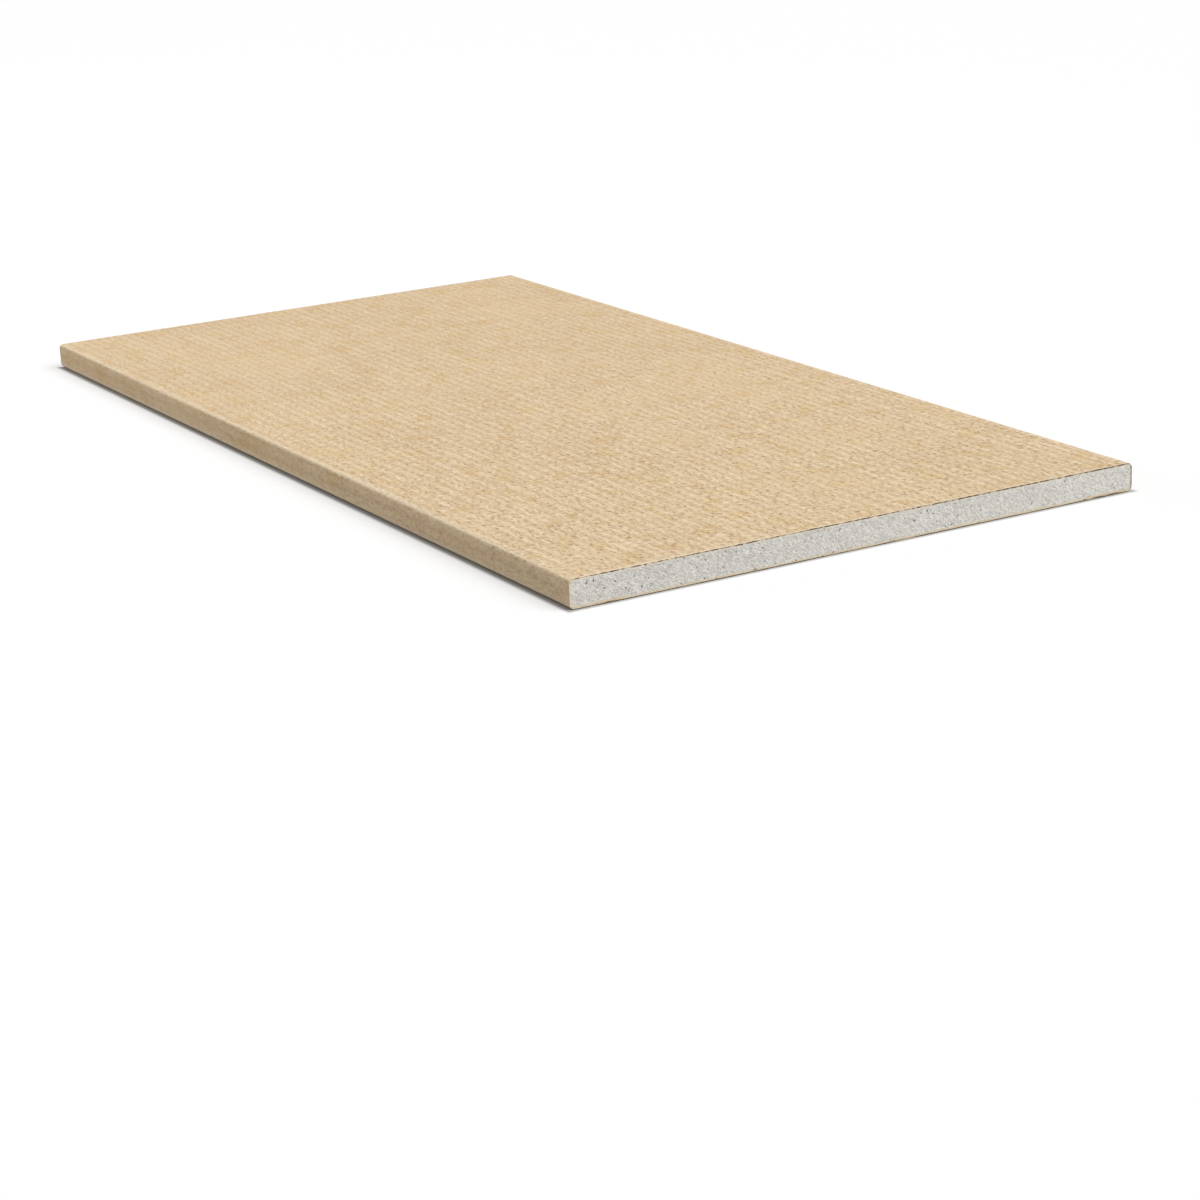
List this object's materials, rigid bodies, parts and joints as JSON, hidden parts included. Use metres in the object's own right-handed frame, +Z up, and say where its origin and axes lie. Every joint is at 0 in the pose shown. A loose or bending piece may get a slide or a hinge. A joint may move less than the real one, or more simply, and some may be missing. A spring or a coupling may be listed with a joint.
{
  "type": "drywall sheet",
  "caption": "Flat rectangular gypsum board with kraft paper wrapped round its rounded long edges and a bare core at its cut ends, for lining walls and ceilings.",
  "frame": {"origin": "middle of the back, on the surface that the board lies on", "axes": "+X across the board between its wrapped long edges, +Y along the long edges between its cut ends, +Z up out of the face"},
  "size_m": [0.275, 0.55, 0.0127],
  "materials": {
    "gypsum_core": "matte aerated gypsum, pale grey with fine pores",
    "face_paper": "matte ribbed kraft paper",
    "back_paper": "matte kraft liner paper"
  },
  "bodies": {
    "root": {"gypsum_core": "gypsum_core", "face_paper": "face_paper", "back_paper": "back_paper"}
  },
  "joints": []
}
